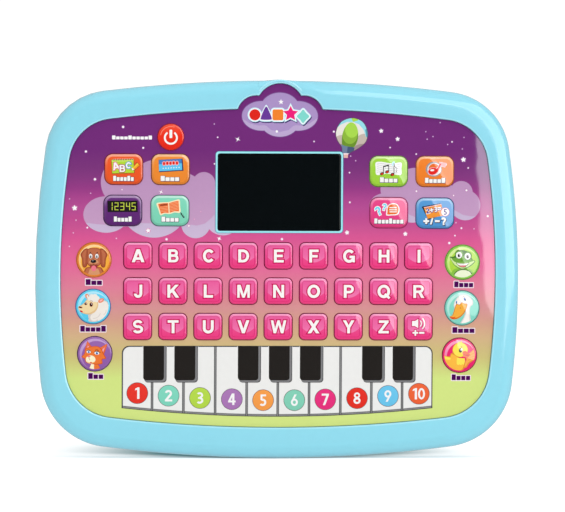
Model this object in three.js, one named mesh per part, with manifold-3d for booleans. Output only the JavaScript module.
// Child's electronic learning pad: a two-shell casing with a printed front panel,
// a lit display, sprung buttons and a battery compartment at the back.
//
// The model is drawn lying down (x to the right, y up the face, z out of the face)
// and the whole group is then stood on its lower edge, facing -Y, with +Z up.
// The origin is under the middle of the lower edge. Millimetres throughout.
// Flat rectangles are {x, y, w, h}, with x, y the middle and r any corner radius.

import * as THREE from 'three';
import { mergeVertices } from 'three/addons/utils/BufferGeometryUtils.js';
import Module from 'manifold-3d';

const wasm = await Module();
wasm.setup();

// ---------------------------------------------------------------- shared dimensions

const THICKNESS = 23.0;                 // face crest to flat back
const CREST_Z = THICKNESS / 2;          // front of the bezel
const BACK_Z = -THICKNESS / 2;          // flat back
const BEYOND_FRONT_Z = 13;              // cuts that break out of the front end here
const BEYOND_BACK_Z = -13;              // and those that break out of the back, here

const SHELL_WALL = 2.5;
const PART_GAP = 0.3;                   // clearance between separate pieces
const PARTING_GAP = 0.15;               // half the gap between the two shells

// Bowed outlines: four shallow arcs joined by four corner arcs.
const CASE_OUTLINE = {
  halfWidth: 120.0, sideY: 87.1, top: 187.3, bottom: 0,
  rTop: 700, rBottom: 668, rSide: 453, rCornerTop: 32.8, rCornerBottom: 35.1,
};
const PANEL_OUTLINE = {
  halfWidth: 107.7, sideY: 90.3, top: 173.4, bottom: 15.8,
  rTop: 660, rBottom: 703, rSide: 407, rCornerTop: 22.8, rCornerBottom: 24.5,
};
// Cloud-shaped notch in the top of the bezel: three overlapping lobes, left to right.
const CLOUD_LOBES = [
  { x: -11.3, y: 170.5, r: 9.4 },
  { x: 0.5, y: 174.2, r: 11.7 },
  { x: 12.3, y: 170.5, r: 9.4 },
];

// Steps along each arc.
const OUTLINE_STEPS = { top: 5, corner: 7, side: 5, bottom: 4 };
const LOBE_STEPS = [7, 9, 7];
const RECT_CORNER_STEPS = 2;
const ROUND_BUTTON_STEPS = 16;
const ROD_STEPS = 14;

const PANEL_TOP_Z = 9.9;
const PANEL_BOTTOM_Z = PANEL_TOP_Z - 2.0;
const LEDGE_BOTTOM_Z = PANEL_BOTTOM_Z - 2.0;    // underside of the shelf the panel is bonded to

const FLANGE_BOTTOM_Z = 6.4;            // retaining flange of each button, under the panel
const FLANGE_TOP_Z = 7.6;

const WINDOW = { x: 0.3, y: 132.2, w: 60.8, h: 37.9, r: 1.0 };

// Battery compartment and its door.
const BAY = { x: 0, y: 86, w: 54, h: 36 };
const BAY_TOP_Z = 1.4;
const DOOR = { x: 4, y: BAY.y, w: 72, h: 45, r: 3 };
const DOOR_TOP_Z = BACK_Z + 1.8;
const DOOR_BOSS_R = 4.1;
const DOOR_BOSS_TOP_Z = -8.4;

// Screws: head face, head thickness and tip.
const DOOR_SCREW = { headZ: -11.3, headThick: 1.3, tipZ: -3.4 };
const DOOR_SCREW_AT = [35.5, BAY.y];
const CASING_SCREW = { headZ: -10.7, headThick: 1.8, tipZ: 4.6 };
const CASING_SCREW_INSET = 9.5;         // in from the outer edge, at the middle of each corner
const SCREW_SHANK_R = 1.2;
const SCREW_HEAD_R = 2.6;
const SCREW_HOLE_R = SCREW_SHANK_R + PART_GAP;
const SCREW_TIP_GAP = 0.4;

const SPEAKER_AT = [-66, 86];

// ---------------------------------------------------------------- plane outlines

const point = (x, y) => new THREE.Vector2(x, y);
const angleFrom = (centre, p) => Math.atan2(p.y - centre.y, p.x - centre.x);
const mirrored = (points) => points.map((p) => point(-p.x, p.y)).reverse();

// Of the two points where circles 1 and 2 cross, the one with the higher score.
function crossing(c1, r1, c2, r2, score) {
  const dx = c2.x - c1.x;
  const dy = c2.y - c1.y;
  const distance = Math.hypot(dx, dy);
  const along = (r1 * r1 - r2 * r2 + distance * distance) / (2 * distance);
  const across = Math.sqrt(r1 * r1 - along * along);
  const midX = c1.x + (along * dx) / distance;
  const midY = c1.y + (along * dy) / distance;
  const offX = (across * dy) / distance;
  const offY = (across * dx) / distance;
  const p = point(midX - offX, midY + offY);
  const q = point(midX + offX, midY - offY);
  return score(p) > score(q) ? p : q;
}

function arcPoints({ centre, radius, from, to, steps }) {
  return Array.from({ length: steps + 1 }, (_, i) => {
    const angle = from + ((to - from) * i) / steps;
    return point(centre.x + radius * Math.cos(angle), centre.y + radius * Math.sin(angle));
  });
}

// Arcs that meet end to end, each shared point taken once.
const chain = (arcs) => arcs.flatMap((arc, i) => arcPoints(arc).slice(i ? 1 : 0));

// Arcs of a bowed outline's right half. The top arc's start is left to the caller.
function bowedArcs(o) {
  const top = point(0, o.top - o.rTop);
  const bottom = point(0, o.bottom + o.rBottom);
  const side = point(o.halfWidth - o.rSide, o.sideY);
  const upper = crossing(top, o.rTop - o.rCornerTop, side, o.rSide - o.rCornerTop,
    (p) => p.x + p.y);
  const lower = crossing(bottom, o.rBottom - o.rCornerBottom, side, o.rSide - o.rCornerBottom,
    (p) => p.x - p.y);
  const topEnd = angleFrom(top, upper);
  const sideStart = angleFrom(side, upper);
  const sideEnd = angleFrom(side, lower);
  const bottomStart = angleFrom(bottom, lower);
  // the lowest edge is one short level facet, so the bottom arc stops half a step early
  const halfStep = (bottomStart + Math.PI / 2) / (2 * OUTLINE_STEPS.bottom + 1);
  const { corner } = OUTLINE_STEPS;
  return {
    top: { centre: top, radius: o.rTop, to: topEnd, steps: OUTLINE_STEPS.top },
    upperCorner: {
      centre: upper, radius: o.rCornerTop, from: topEnd, to: sideStart, steps: corner,
    },
    side: {
      centre: side, radius: o.rSide, from: sideStart, to: sideEnd, steps: OUTLINE_STEPS.side,
    },
    lowerCorner: {
      centre: lower, radius: o.rCornerBottom, from: sideEnd, to: bottomStart, steps: corner,
    },
    bottom: {
      centre: bottom, radius: o.rBottom, from: bottomStart, to: -Math.PI / 2 + halfStep,
      steps: OUTLINE_STEPS.bottom,
    },
  };
}

// Points of the right half, from startAngle on the top arc down to the bottom middle.
function rightHalf(outline, inset, startAngle) {
  const { top, upperCorner, side, lowerCorner, bottom } = bowedArcs(outline);
  return chain([{ ...top, from: startAngle }, upperCorner, side, lowerCorner, bottom]
    .map((arc) => ({ ...arc, radius: arc.radius - inset })));
}

// All outlines below run counter-clockwise.
function bowedOutline(outline, inset = 0) {
  const right = rightHalf(outline, inset, Math.PI / 2);
  return right.concat(mirrored(right.slice(1))).reverse();
}

// The lobes as one run of points, left to right, between two end points.
function lobeRun(inset, first, last) {
  const [a, b, c] = CLOUD_LOBES.map((lobe) => ({ ...lobe, r: lobe.r - inset }));
  const height = (p) => p.y;
  const joints = [
    first,
    crossing(a, a.r, b, b.r, height),
    crossing(b, b.r, c, c.r, height),
    last,
  ];
  return chain([a, b, c].map((lobe, i) => ({
    centre: lobe, radius: lobe.r,
    from: angleFrom(lobe, joints[i]), to: angleFrom(lobe, joints[i + 1]),
    steps: LOBE_STEPS[i],
  })));
}

// The bowed panel shape with the cloud lobes standing out of its top edge.
function panelOutline(inset = 0) {
  const { centre, radius } = bowedArcs(PANEL_OUTLINE).top;
  const [leftLobe, , rightLobe] = CLOUD_LOBES;
  const left = crossing(centre, radius - inset, leftLobe, leftLobe.r - inset, (p) => -p.x);
  const right = crossing(centre, radius - inset, rightLobe, rightLobe.r - inset, (p) => p.x);
  const halfFrom = (angle) => rightHalf(PANEL_OUTLINE, inset, angle).slice(1);
  return lobeRun(inset, left, right).concat(
    halfFrom(angleFrom(centre, right)),
    mirrored(halfFrom(Math.PI - angleFrom(centre, left))),
  ).reverse();
}

// Stand-alone cloud, cut off level at baseY.
function cloudOutline(inset, baseY) {
  const [left, , right] = CLOUD_LOBES;
  const reach = (lobe) => Math.sqrt((lobe.r - inset) ** 2 - (baseY - lobe.y) ** 2);
  return lobeRun(inset,
    point(left.x - reach(left), baseY), point(right.x + reach(right), baseY)).reverse();
}

// Rounded rectangle, optionally grown outwards all round.
function roundRect({ x, y, w, h, r }, grow = 0) {
  const radius = r + grow;
  const dx = (w + 2 * grow) / 2 - radius;
  const dy = (h + 2 * grow) / 2 - radius;
  return [[dx, dy], [-dx, dy], [-dx, -dy], [dx, -dy]].flatMap(([cx, cy], quarter) => arcPoints({
    centre: point(x + cx, y + cy), radius,
    from: (quarter * Math.PI) / 2, to: ((quarter + 1) * Math.PI) / 2,
    steps: RECT_CORNER_STEPS,
  }));
}

function circleOutline(x, y, radius, steps) {
  return arcPoints({ centre: point(x, y), radius, from: 0, to: 2 * Math.PI, steps }).slice(0, -1);
}

// ---------------------------------------------------------------- solids

// three.js geometry to a solid: shared vertices merged, empty triangles dropped,
// faces turned outwards.
function solid(geometry) {
  geometry.deleteAttribute('normal');
  geometry.deleteAttribute('uv');
  const merged = mergeVertices(geometry, 1e-4);
  const position = merged.getAttribute('position');
  const index = merged.getIndex();
  const triangles = [];
  let volume = 0;
  for (let i = 0; i < index.count; i += 3) {
    const corners = [0, 1, 2].map((k) => index.getX(i + k));
    if (new Set(corners).size < 3) continue;
    triangles.push(...corners);
    const [a, b, c] = corners.map((k) => new THREE.Vector3().fromBufferAttribute(position, k));
    volume += a.dot(b.cross(c));
  }
  if (volume < 0) {
    for (let i = 0; i < triangles.length; i += 3) {
      [triangles[i + 1], triangles[i + 2]] = [triangles[i + 2], triangles[i + 1]];
    }
  }
  return new wasm.Manifold(new wasm.Mesh({
    numProp: 3,
    vertProperties: new Float32Array(position.array),
    triVerts: new Uint32Array(triangles),
  }));
}

function prism(points, z0, z1, holes = []) {
  const shape = new THREE.Shape(points);
  shape.holes = holes.map((hole) => new THREE.Path(hole.slice().reverse()));
  const geometry = new THREE.ExtrudeGeometry(shape, { depth: z1 - z0, bevelEnabled: false });
  return solid(geometry.translate(0, 0, z0));
}

// Prism whose two end edges are rounded: depth through the thickness, inset across the face.
function pillow(points, z0, z1, { depth, inset, segments }) {
  const geometry = new THREE.ExtrudeGeometry(new THREE.Shape(points), {
    depth: z1 - z0 - 2 * depth,
    bevelEnabled: true,
    bevelThickness: depth,
    bevelSize: inset,
    bevelOffset: -inset,
    bevelSegments: segments,
  });
  return solid(geometry.translate(0, 0, z0 + depth));
}

const lathe = (profile, segments) => new THREE.LatheGeometry(
  profile.map(([r, along]) => point(r, along)), segments);

// Turned piece standing along z at (x, y); the profile runs [radius, z] from axis to axis.
function turned(profile, [x, y], segments) {
  return solid(lathe(profile, segments).rotateX(Math.PI / 2).translate(x, y, 0));
}

function rod([x, y], radius, z0, z1) {
  const geometry = new THREE.CylinderGeometry(radius, radius, z1 - z0, ROD_STEPS);
  return solid(geometry.rotateX(Math.PI / 2).translate(x, y, (z0 + z1) / 2));
}

function block({ x, y, w, h }, z0, z1, grow = 0) {
  const geometry = new THREE.BoxGeometry(w + 2 * grow, h + 2 * grow, z1 - z0);
  return solid(geometry.translate(x, y, (z0 + z1) / 2));
}

const join = (first, ...rest) => rest.reduce((whole, part) => whole.add(part), first);
const cut = (first, ...rest) => rest.reduce((whole, part) => whole.subtract(part), first);

// ---------------------------------------------------------------- group and finishes

const toy = new THREE.Group();
toy.rotation.x = Math.PI / 2;           // stand the face up: drawn z becomes -Y

function place(name, piece, finish) {
  const { vertProperties, triVerts } = piece.getMesh();
  const geometry = new THREE.BufferGeometry();
  geometry.setAttribute('position',
    new THREE.BufferAttribute(new Float32Array(vertProperties), 3));
  geometry.setIndex(new THREE.BufferAttribute(new Uint32Array(triVerts), 1));
  geometry.computeVertexNormals();
  const mesh = new THREE.Mesh(geometry, new THREE.MeshStandardMaterial(finish));
  mesh.name = name;
  toy.add(mesh);
}

const SHELL_COLOUR = 0x93d9ea;
const STEEL = { color: 0xb4b7ba, roughness: 0.3, metalness: 0.9 };
const BUTTON_ROUGHNESS = 0.2;

// ---------------------------------------------------------------- casing

const SHELL_ROUNDING = { depth: 8.0, inset: 6.5, segments: 4 };
const AROUND_CASE = { x: 0, y: 95, w: 260, h: 200 };    // larger than the casing all round

// The part of the whole casing shape between two levels.
function shellBlank(z0, z1) {
  const whole = pillow(bowedOutline(CASE_OUTLINE), BACK_Z, CREST_Z, SHELL_ROUNDING);
  return whole.intersect(block(AROUND_CASE, z0, z1));
}

function casingScrewPlaces() {
  const { upperCorner, lowerCorner } = bowedArcs(CASE_OUTLINE);
  return [upperCorner, lowerCorner].flatMap(({ centre, radius, from, to }) => {
    const angle = (from + to) / 2;
    const x = centre.x + (radius - CASING_SCREW_INSET) * Math.cos(angle);
    const y = centre.y + (radius - CASING_SCREW_INSET) * Math.sin(angle);
    return [[-x, y], [x, y]];
  });
}
const CASING_SCREWS_AT = casingScrewPlaces();

// Hole that a screw head sinks into from the back.
const headRecess = (at, screw) => rod(at, SCREW_HEAD_R + PART_GAP,
  BEYOND_BACK_Z, screw.headZ + screw.headThick + PART_GAP);

// Hollow bezel with a ledge for the panel, a rimmed cloud notch and four screw bosses.
function frontCasing() {
  const bossR = 3.2;
  const bossTopZ = 9.3;
  const ledgeReach = 3.0;
  const cloudRim = { width: 2.0, baseY: 172, bottomZ: 3, topZ: CREST_Z - 0.2 };
  const groove = { outerInset: 3.4, topZ: 9.0, innerOutset: 2.3 };  // hollow behind the bezel

  const hollowed = cut(shellBlank(PARTING_GAP, 20),
    prism(bowedOutline(CASE_OUTLINE, SHELL_WALL), -1, LEDGE_BOTTOM_Z),
    cut(prism(bowedOutline(CASE_OUTLINE, groove.outerInset), LEDGE_BOTTOM_Z - 0.5, groove.topZ),
      prism(panelOutline(-groove.innerOutset), LEDGE_BOTTOM_Z - 2, groove.topZ + 1)));
  const fitted = join(hollowed,
    prism(cloudOutline(-cloudRim.width, cloudRim.baseY), cloudRim.bottomZ, cloudRim.topZ),
    ...CASING_SCREWS_AT.map((at) => rod(at, bossR, PARTING_GAP + 0.15, bossTopZ)));
  return cut(fitted,
    prism(panelOutline(-PART_GAP), PANEL_BOTTOM_Z, BEYOND_FRONT_Z),
    prism(panelOutline(ledgeReach), LEDGE_BOTTOM_Z - 1, 8.5),
    ...CASING_SCREWS_AT.map((at) => rod(at, SCREW_HOLE_R, -1, CASING_SCREW.tipZ + SCREW_TIP_GAP)));
}

// Level slots filling a circle, cut through the back.
function speakerSlots() {
  const pitch = 4.4;
  const circleR = 17;
  const [x, y] = SPEAKER_AT;
  return [-3, -2, -1, 0, 1, 2, 3].map((i) => {
    const w = 2 * Math.sqrt(circleR * circleR - (i * pitch) ** 2);
    return prism(roundRect({ x, y: y + i * pitch, w, h: 2.0, r: 0.95 }), BEYOND_BACK_Z, -8);
  });
}

// Pan with battery tub, door pocket, screw posts and speaker slots.
function rearCasing() {
  const rootZ = -10;                    // added bodies start inside the floor
  const floor = { z: -9.3, inset: 5.5, stepZ: -6 };
  const wall = 1.6;                     // round the tub and the door pocket
  const doorPost = { r: 3.6, topZ: -1.8 };
  const casingPost = { r: 3.7, topZ: -0.5 };

  const pan = cut(shellBlank(-20, -PARTING_GAP),
    prism(bowedOutline(CASE_OUTLINE, SHELL_WALL), floor.stepZ, 1),
    prism(bowedOutline(CASE_OUTLINE, floor.inset), floor.z, floor.stepZ + 1));
  const fitted = join(pan,
    block(DOOR, rootZ, -7.4, wall),
    block(BAY, rootZ, BAY_TOP_Z + 1, wall),
    rod(DOOR_SCREW_AT, doorPost.r, rootZ, doorPost.topZ),
    ...CASING_SCREWS_AT.map((at) => rod(at, casingPost.r, rootZ, casingPost.topZ)));
  return cut(fitted,
    prism(roundRect(DOOR, PART_GAP), BEYOND_BACK_Z, DOOR_TOP_Z + PART_GAP),
    block(BAY, rootZ, BAY_TOP_Z),
    rod(DOOR_SCREW_AT, DOOR_BOSS_R + PART_GAP, rootZ, DOOR_BOSS_TOP_Z + PART_GAP),
    rod(DOOR_SCREW_AT, SCREW_HOLE_R, -9, DOOR_SCREW.tipZ + SCREW_TIP_GAP),
    ...CASING_SCREWS_AT.flatMap((at) => [
      headRecess(at, CASING_SCREW), rod(at, SCREW_HOLE_R, -9, 1)]),
    ...speakerSlots());
}

// Battery door with a boss for its screw.
function batteryDoor() {
  return cut(
    join(prism(roundRect(DOOR), BACK_Z, DOOR_TOP_Z),
      rod(DOOR_SCREW_AT, DOOR_BOSS_R, BACK_Z + 0.5, DOOR_BOSS_TOP_Z)),
    headRecess(DOOR_SCREW_AT, DOOR_SCREW),
    rod(DOOR_SCREW_AT, SCREW_HOLE_R, BEYOND_BACK_Z, -8));
}

function screw({ headZ, headThick, tipZ }, at) {
  return turned([
    [0, headZ], [SCREW_HEAD_R - 0.3, headZ], [SCREW_HEAD_R, headZ + 0.4],
    [SCREW_HEAD_R, headZ + headThick], [SCREW_SHANK_R, headZ + headThick],
    [SCREW_SHANK_R, tipZ - 0.8], [0, tipZ],
  ], at, 12);
}

place('front_casing', frontCasing(), { color: SHELL_COLOUR, roughness: 0.28 });
place('rear_casing', rearCasing(), { color: SHELL_COLOUR, roughness: 0.3 });
place('battery_door', batteryDoor(), { color: SHELL_COLOUR, roughness: 0.32 });
place('battery_door_screw', screw(DOOR_SCREW, DOOR_SCREW_AT), STEEL);
CASING_SCREWS_AT.forEach((at, i) => {
  place(`casing_screw_${i + 1}`, screw(CASING_SCREW, at), STEEL);
});

// ---------------------------------------------------------------- batteries

const CELL_R = 10.5 / 2;
const CELL_HALF_LENGTH = 44.5 / 2;
const CELL_PITCH = 11.6;
const CELL_Z = DOOR_TOP_Z + 2 * PART_GAP + CELL_R;
const CELL_FINISH = { color: 0x3a3d40, roughness: 0.35, metalness: 0.4 };

// AAA cell lying along x; the middle one points the other way.
function battery(i) {
  const end = CELL_HALF_LENGTH;
  const terminalR = 1.9;
  const geometry = lathe([              // [radius, distance along the cell]
    [0, -end], [CELL_R - 0.4, -end], [CELL_R, -end + 0.4], [CELL_R, end - 1.6],
    [terminalR, end - 1.0], [terminalR, end], [0, end],
  ], 14);
  geometry.rotateZ(i % 2 ? Math.PI / 2 : -Math.PI / 2);
  return solid(geometry.translate(0, BAY.y + (i - 1) * CELL_PITCH, CELL_Z));
}

// Plate at the right-hand end of the compartment, with a square contact for each cell.
function contactPlate() {
  const bayRight = BAY.x + BAY.w / 2;
  const size = 3;
  const contacts = [-1, 0, 1].map((i) => block(
    { x: bayRight - 1.6, y: BAY.y + i * CELL_PITCH, w: 2, h: size },
    CELL_Z - size / 2, CELL_Z + size / 2));
  return join(block({ x: bayRight - 0.6, y: BAY.y, w: 0.6, h: BAY.h - 3 }, -8.6, 0.8),
    ...contacts);
}

for (let i = 0; i < 3; i++) place(`battery_${i + 1}`, battery(i), CELL_FINISH);
place('battery_contact_plate', contactPlate(), STEEL);

// ---------------------------------------------------------------- speaker, board, display

// Speaker behind its slots.
function speaker() {
  const rimR = 20;
  return turned([
    [0, -8.0], [rimR - 3, -8.8], [rimR, -8.8], [rimR, -7.2],
    [13, -4.4], [10.5, -4.4], [10.5, -0.6], [0, -0.6],
  ], SPEAKER_AT, 20);
}

// Main board with two packages on its back.
function mainBoard() {
  return join(prism(roundRect({ x: 0.3, y: 132, w: 132, h: 52, r: 2 }), 2.7, 3.9),
    block({ x: 47, y: 131, w: 14, h: 14 }, 1.2, 3.0),
    block({ x: -52, y: 132, w: 12, h: 8 }, 1.4, 3.0));
}

// The window's rectangle with its own margins and a 2 mm corner.
const windowSurround = (extraW, extraH) => roundRect(
  { ...WINDOW, w: WINDOW.w + extraW, h: WINDOW.h + extraH, r: 2 });

// Pane set into the panel from behind, with a flange.
function displayWindow() {
  return join(prism(windowSurround(3, 3), 6.2, FLANGE_TOP_Z),
    prism(roundRect(WINDOW), 7, PANEL_TOP_Z - 0.3));
}

// Contact sheet under every button, open round the display.
const keyMembrane = () => prism(bowedOutline(PANEL_OUTLINE, 6.5), 4.2, 5.2,
  [windowSurround(6, 4)]);

place('speaker', speaker(), { color: 0x2b2c2e, roughness: 0.55, metalness: 0.2 });
place('main_board', mainBoard(), { color: 0x2f7a44, roughness: 0.5 });
place('led_display_module', block({ ...WINDOW, w: 54, h: 33 }, 4.2, 5.9),
  { color: 0x1d2b2e, roughness: 0.5 });
place('display_window', displayWindow(), { color: 0x05090b, roughness: 0.08 });
place('key_membrane', keyMembrane(), { color: 0xb9bdc2, roughness: 0.7 });

// ---------------------------------------------------------------- buttons and panel

const CAP_CROWN_Z = 10.9;
const CAP_ROUNDING = { depth: 0.8, inset: 1.2, segments: 1 };
const FLANGE_REACH = 1.0;

// Letter keys: three rows of nine, the last one for volume.
const LETTER_CAP = { w: 13.8, h: 12.9, r: 2.6 };
const LETTER_COLUMNS = 9;
const LETTER_PITCH_X = 17.42;
const LETTER_ROWS_Y = [100.7, 83.2, 65.6];
const LETTER_NAMES = [...'abcdefghijklmnopqrstuvwxyz'].map((letter) => `letter_key_${letter}`);
const LETTER_KEYS = [...LETTER_NAMES, 'volume_key'].map((name, i) => ({
  ...LETTER_CAP,
  name,
  x: ((i % LETTER_COLUMNS) - (LETTER_COLUMNS - 1) / 2) * LETTER_PITCH_X,
  y: LETTER_ROWS_Y[Math.floor(i / LETTER_COLUMNS)],
  color: 0xe33a86,
}));

const MODE_CAP = { w: 18.7, h: 15.0, r: 3.9 };
const MODE_BUTTONS = [                  // name, x, y, colour
  ['letter', -76.8, 143.4, 0xe8602c],
  ['word', -53.7, 143.4, 0xee8c30],
  ['spell', -77.2, 123.0, 0x5a2d6e],
  ['read', -53.9, 123.0, 0x7dd2b4],
  ['song', 54.5, 142.7, 0x96cd46],
  ['music', 77.5, 142.7, 0xee7d2e],
  ['question', 54.7, 122.2, 0xe64b91],
  ['maths', 77.6, 122.0, 0x4b8cc8],
].map(([mode, x, y, color]) => ({ ...MODE_CAP, name: `mode_button_${mode}`, x, y, color }));

const ANIMAL_CAP_R = 17.0 / 2;
const ANIMAL_BUTTONS = [                // name, x, y, colour
  ['dog', -91.4, 98.6, 0xee8c2c],
  ['sheep', -91.7, 75.5, 0x5fbde6],
  ['cat', -90.8, 52.1, 0x9b6fc0],
  ['frog', 91.4, 97.7, 0x9ad04a],
  ['duck', 91.4, 75.0, 0x7ed8c0],
  ['bird', 90.3, 51.5, 0xf28ab4],
].map(([animal, x, y, color]) => ({
  name: `animal_button_${animal}`, x, y, r: ANIMAL_CAP_R, color,
}));
const POWER_BUTTON = { name: 'power_button', x: -53.6, y: 159.4, r: 13.0 / 2, color: 0xe3202b };

const BOX_BUTTONS = [...LETTER_KEYS, ...MODE_BUTTONS];
const ROUND_BUTTONS = [...ANIMAL_BUTTONS, POWER_BUTTON];

function boxButton(cap) {
  return join(pillow(roundRect(cap), FLANGE_BOTTOM_Z + 0.2, CAP_CROWN_Z, CAP_ROUNDING),
    prism(roundRect(cap, FLANGE_REACH), FLANGE_BOTTOM_Z, FLANGE_TOP_Z));
}

function roundButton({ x, y, r }) {
  return turned([
    [0, FLANGE_BOTTOM_Z], [r + FLANGE_REACH, FLANGE_BOTTOM_Z],
    [r + FLANGE_REACH, FLANGE_TOP_Z], [r, FLANGE_TOP_Z],
    [r, CAP_CROWN_Z - 0.9], [r - 1.2, CAP_CROWN_Z - 0.25], [0, CAP_CROWN_Z],
  ], [x, y], ROUND_BUTTON_STEPS);
}

// Printed front panel, pierced for the display and every button.
function overlayPanel() {
  const roundGap = PART_GAP + 0.15;
  return prism(panelOutline(), PANEL_BOTTOM_Z, PANEL_TOP_Z, [
    roundRect(WINDOW, PART_GAP),
    ...BOX_BUTTONS.map((cap) => roundRect(cap, PART_GAP)),
    ...ROUND_BUTTONS.map(({ x, y, r }) => circleOutline(x, y, r + roundGap, ROUND_BUTTON_STEPS)),
  ]);
}

for (const [buttons, build] of [[BOX_BUTTONS, boxButton], [ROUND_BUTTONS, roundButton]]) {
  for (const button of buttons) {
    place(button.name, build(button), { color: button.color, roughness: BUTTON_ROUGHNESS });
  }
}
place('overlay_panel', overlayPanel(), { color: 0x8c3f86, roughness: 0.25 });

export default toy;
